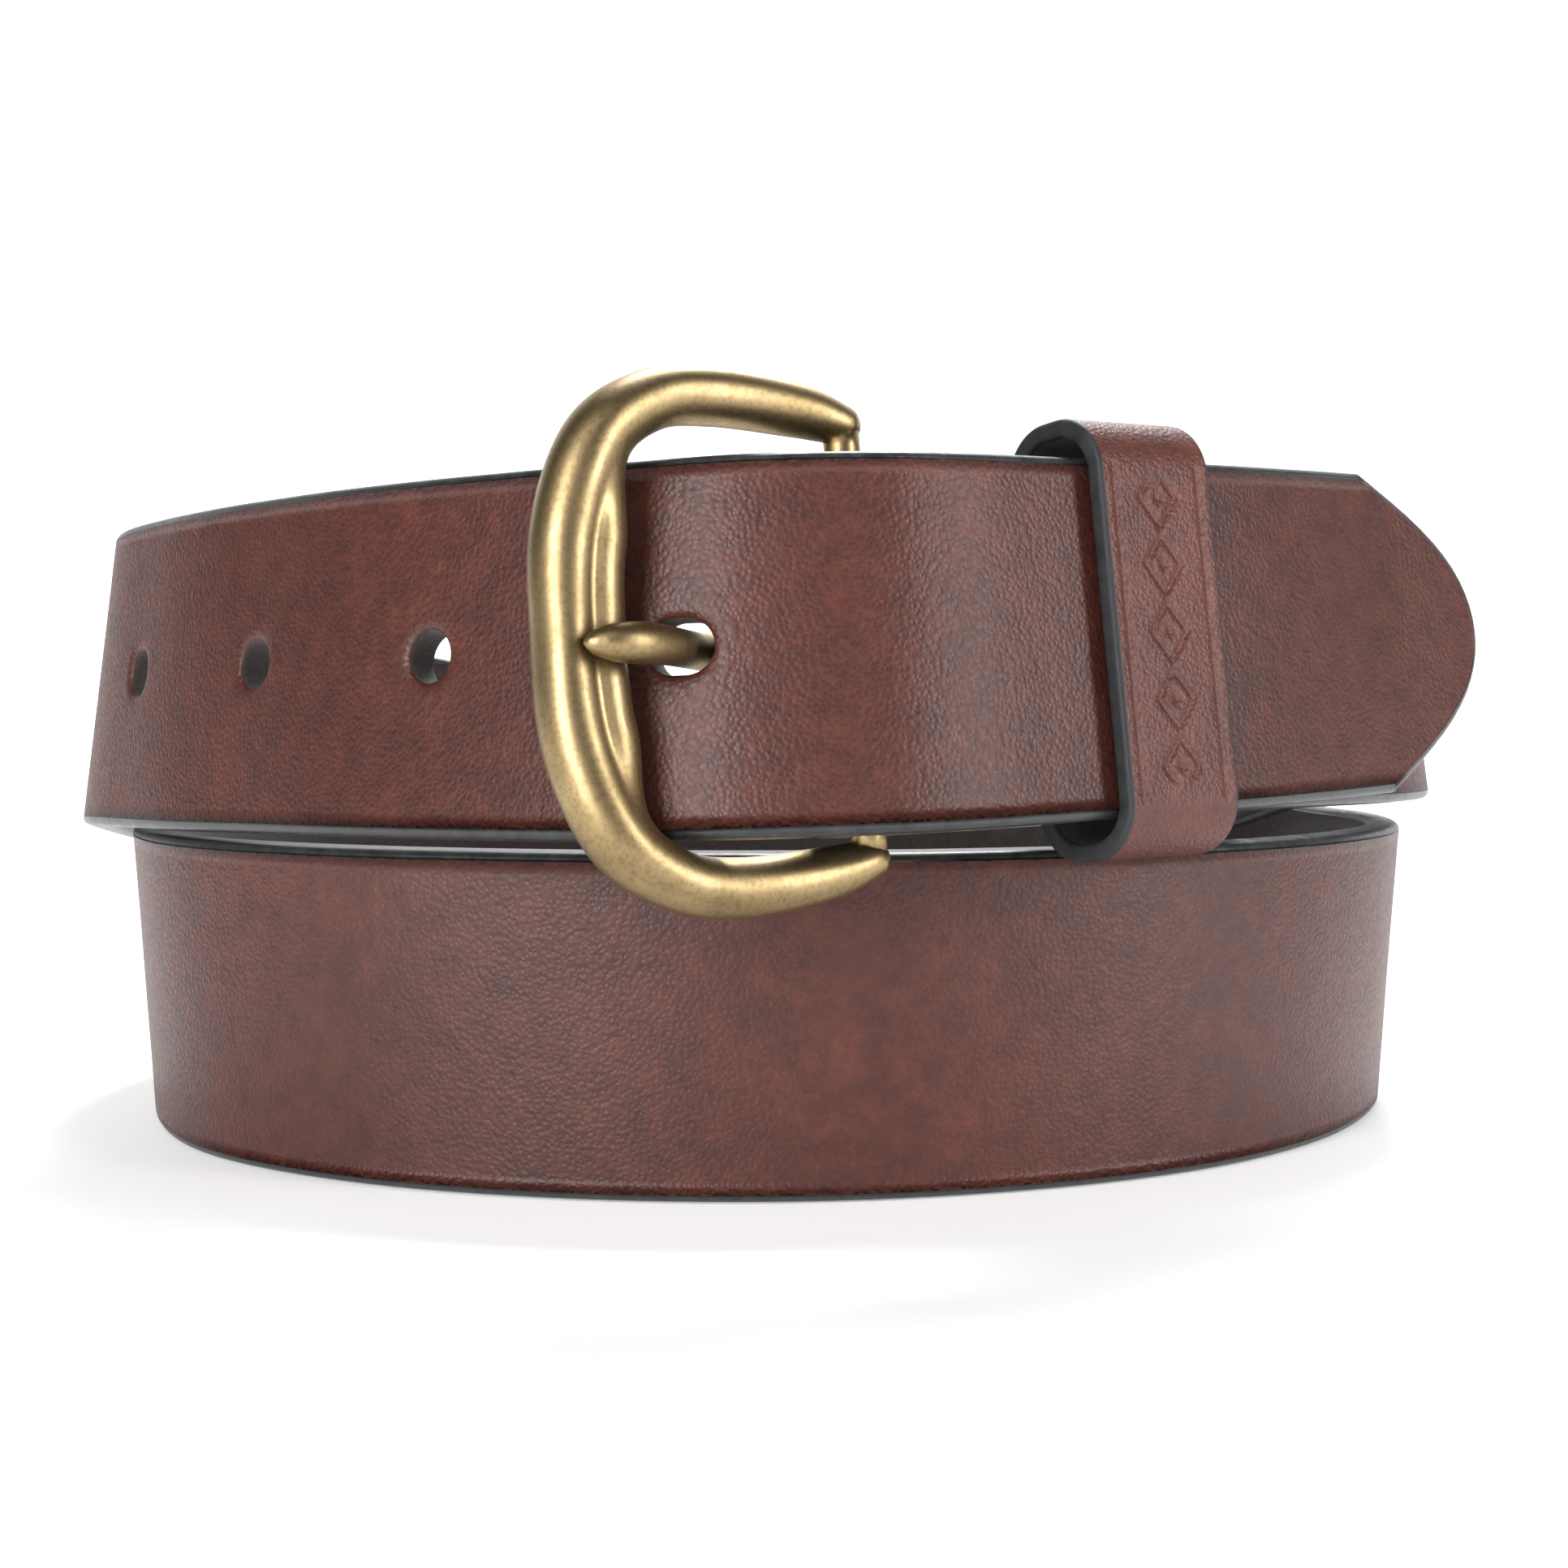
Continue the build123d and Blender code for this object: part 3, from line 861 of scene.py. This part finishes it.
def loop_place(distance):
    """Point on the loop's outer line and its outward direction, from the seam upwards."""
    corner = math.pi / 2 * wall
    side = outer_height / 2 - wall
    top = outer_depth - 2 * wall
    spans = [side, corner, top, corner, 2 * side, corner, top, corner, side]
    x, y = -outer_depth / 2, 0.0
    heading = math.pi / 2
    for number, span in enumerate(spans):
        here = min(max(distance, 0.0), span)
        if number % 2 == 0:
            x += here * math.cos(heading)
            y += here * math.sin(heading)
        else:
            swing = here / wall
            centre_x = x + wall * math.sin(heading)
            centre_y = y - wall * math.cos(heading)
            heading -= swing
            x = centre_x - wall * math.sin(heading)
            y = centre_y + wall * math.cos(heading)
        distance -= span
        if distance <= 0:
            break
    return (x, y), (-math.sin(heading), math.cos(heading))


loop_length = 4 * (outer_height / 2 - wall) + 2 * (outer_depth - 2 * wall) + 2 * math.pi * wall
keeper_round = 0.45
motif_depth = 0.28
motif_pitch = 6.0
motif_half = 2.5
motif_line = 0.36
motif_rim = 0.86
motif_end_margin = 6.0
motif_end_fade = 0.8
dot_radius = 0.5
border_place = 5.1
border_line = 0.3
border_share = 0.6
loop_rings = 361
flat_steps = 50
corner_steps = 4
inner_skip = 4                     # the inner face needs only every fourth point
front_facing = 0.99


def tooling(up, across):
    """Depth of the tooled pattern on the front: two border lines and a chain of lozenges."""
    from_end = outer_height / 2 - motif_end_margin - abs(up)
    reach = min(1.0, max(0.0, from_end / motif_end_fade))
    border = math.exp(-(((abs(across) - border_place) / border_line) ** 2)) * border_share
    place = (up / motif_pitch - round(up / motif_pitch)) * motif_pitch
    lozenge = abs(place) / (motif_pitch / 2) + abs(across) / motif_half
    chain = math.exp(-(((lozenge - motif_rim) * motif_half / motif_line) ** 2))
    dot = math.exp(-((place**2 + across**2) / dot_radius**2))
    return motif_depth * (border + reach * (chain + dot))


keeper_ends = keeper_seam_gap / 2
around_places = np.linspace(keeper_ends, loop_length - keeper_ends, loop_rings)
half_keeper = keeper_width / 2
flat_part = np.linspace(-(half_keeper - keeper_round), half_keeper - keeper_round, flat_steps)
corner_angles = [math.pi / 2 * k / corner_steps for k in range(1, corner_steps + 1)]
corner = [
    (
        half_keeper - keeper_round * (1 - math.sin(angle)),
        keeper_round * (1 - math.cos(angle)),
    )
    for angle in corner_angles
]
inner_corner = [(across, keeper_thickness - depth) for across, depth in corner[::-1]]
profile = [(across, 0.0) for across in flat_part] + corner + inner_corner
profile += [(across, keeper_thickness) for across in flat_part[::-inner_skip]]
# known fault: this one inner corner runs backwards, so the surface doubles back on itself here
profile += [(-across, depth) for across, depth in inner_corner]
profile += [(-across, depth) for across, depth in corner[::-1]]
keeper_kinds_of_ring = []
for k in range(len(profile)):
    depth = (profile[k][1] + profile[(k + 1) % len(profile)][1]) / 2
    level = profile[k][1] == profile[(k + 1) % len(profile)][1]
    if level and depth == 0.0:
        keeper_kinds_of_ring.append(grain_kind)
    elif level and depth == keeper_thickness:
        keeper_kinds_of_ring.append(flesh_kind)
    else:
        keeper_kinds_of_ring.append(edge_kind)
rings = []
for distance in around_places:
    (x, y), (out_x, out_y) = loop_place(distance)
    ring = []
    for across, depth in profile:
        sunk = depth
        if depth == 0.0 and out_x > front_facing:
            sunk += tooling(y, across)
        ring.append(
            keeper_centre + keeper_out * (x - out_x * sunk) + keeper_up * (y - out_y * sunk)
            - keeper_along * across
        )
    rings.append(ring)
keeper_points, keeper_faces = tube(rings)
keeper_kinds = keeper_kinds_of_ring * (len(rings) - 1) + [edge_kind, edge_kind]
add_piece(
    "keeper_leather_loop", keeper_points, keeper_faces, keeper_kinds,
    [keeper_grain, keeper_edge, strap_flesh], "keeper", "keeper_loop",
)

# --- CAD nodes that stay as they are, with better materials ---
for name, node in frame["nodes"].items():
    if "screw" in name or "staple" in name:
        node.data.materials.clear()
        node.data.materials.append(screw_brass if "screw" in name else staple_steel)

# --- floor and backdrop ---
floor_material, _, floor_shader = new_material("floor", (0.93, 0.93, 0.93), 0.7)
floor_shader.inputs["Emission Color"].default_value = (1, 1, 1, 1)
floor_shader.inputs["Emission Strength"].default_value = 0.36
backdrop_material, _, backdrop_shader = new_material("backdrop", (0.9, 0.9, 0.9), 0.8)
backdrop_shader.inputs["Emission Color"].default_value = (1, 1, 1, 1)
backdrop_shader.inputs["Emission Strength"].default_value = 1.0
# the sweep's profile in metres: flat floor, a quarter circle and an upright backdrop
floor_front, floor_back = -1.5, 1.2
sweep_radius = 0.6
backdrop_top = 2.5
floor_half_width = 2.5
floor_gap = 0.0002                 # keeps the floor just clear of the belt's standing edge
sweep = [(floor_front, 0.0), (floor_back, 0.0)]
for degrees in range(10, 91, 10):
    angle = math.radians(degrees)
    sweep.append((
        floor_back + sweep_radius * math.sin(angle), sweep_radius - sweep_radius * math.cos(angle)
    ))
sweep.append((floor_back + sweep_radius, backdrop_top))
floor_points = [(x, y, z) for y, z in sweep for x in (-floor_half_width, floor_half_width)]
floor_mesh = bpy.data.meshes.new("floor")
floor_mesh.from_pydata(
    floor_points, [], [(2 * k, 2 * k + 1, 2 * k + 3, 2 * k + 2) for k in range(len(sweep) - 1)]
)
floor_mesh.materials.append(floor_material)
floor_mesh.materials.append(backdrop_material)
floor_mesh.polygons.foreach_set("material_index", [0] + [1] * (len(sweep) - 2))
floor = bpy.data.objects.new("floor", floor_mesh)
bpy.context.scene.collection.objects.link(floor)
floor.location.z = -floor_gap

# --- camera ---
camera_back = 280.0
camera_height = 44.9
camera_down = 1.88
camera = bpy.data.objects.new("camera", bpy.data.cameras.new("camera"))
bpy.context.scene.collection.objects.link(camera)
camera.data.sensor_width = 36.0
camera.data.lens = 53.85
camera.data.clip_start = 0.01
camera.location = (coil_centre - Vector((0, camera_back, -camera_height))) * mm
camera.rotation_euler = (math.radians(90 - camera_down), 0, 0)
bpy.context.scene.camera = camera

# --- light ---
world = bpy.data.worlds.new("studio")
world.use_nodes = True
world.node_tree.nodes["Background"].inputs["Color"].default_value = (1.0, 1.0, 1.0, 1)
world.node_tree.nodes["Background"].inputs["Strength"].default_value = 0.07
bpy.context.scene.world = world


def softbox(name, azimuth, elevation, distance, width, height, power, aim=(0, 0, 0.035)):
    """A rectangular light placed round the belt: azimuth 0 is the camera's side."""
    lamp = bpy.data.objects.new(name, bpy.data.lights.new(name, "AREA"))
    bpy.context.scene.collection.objects.link(lamp)
    lamp.data.shape = "RECTANGLE"
    lamp.data.size = width
    lamp.data.size_y = height
    lamp.data.energy = power
    turn, rise = math.radians(azimuth), math.radians(elevation)
    direction = Vector((
        math.sin(turn) * math.cos(rise), -math.cos(turn) * math.cos(rise), math.sin(rise)
    ))
    lamp.location = Vector(aim) + direction * distance
    lamp.rotation_euler = (-direction).to_track_quat("-Z", "Y").to_euler()


softbox("left_window", -30, 8, 0.85, 0.34, 0.6, 9)
softbox("right_strip", 62, 8, 0.85, 0.17, 0.7, 6.5)
softbox("overhead", 170, 58, 1.1, 0.45, 0.35, 15)
softbox("front_fill", -8, 48, 1.3, 0.9, 0.4, 1.5)
bpy.context.scene.view_settings.view_transform = "Standard"
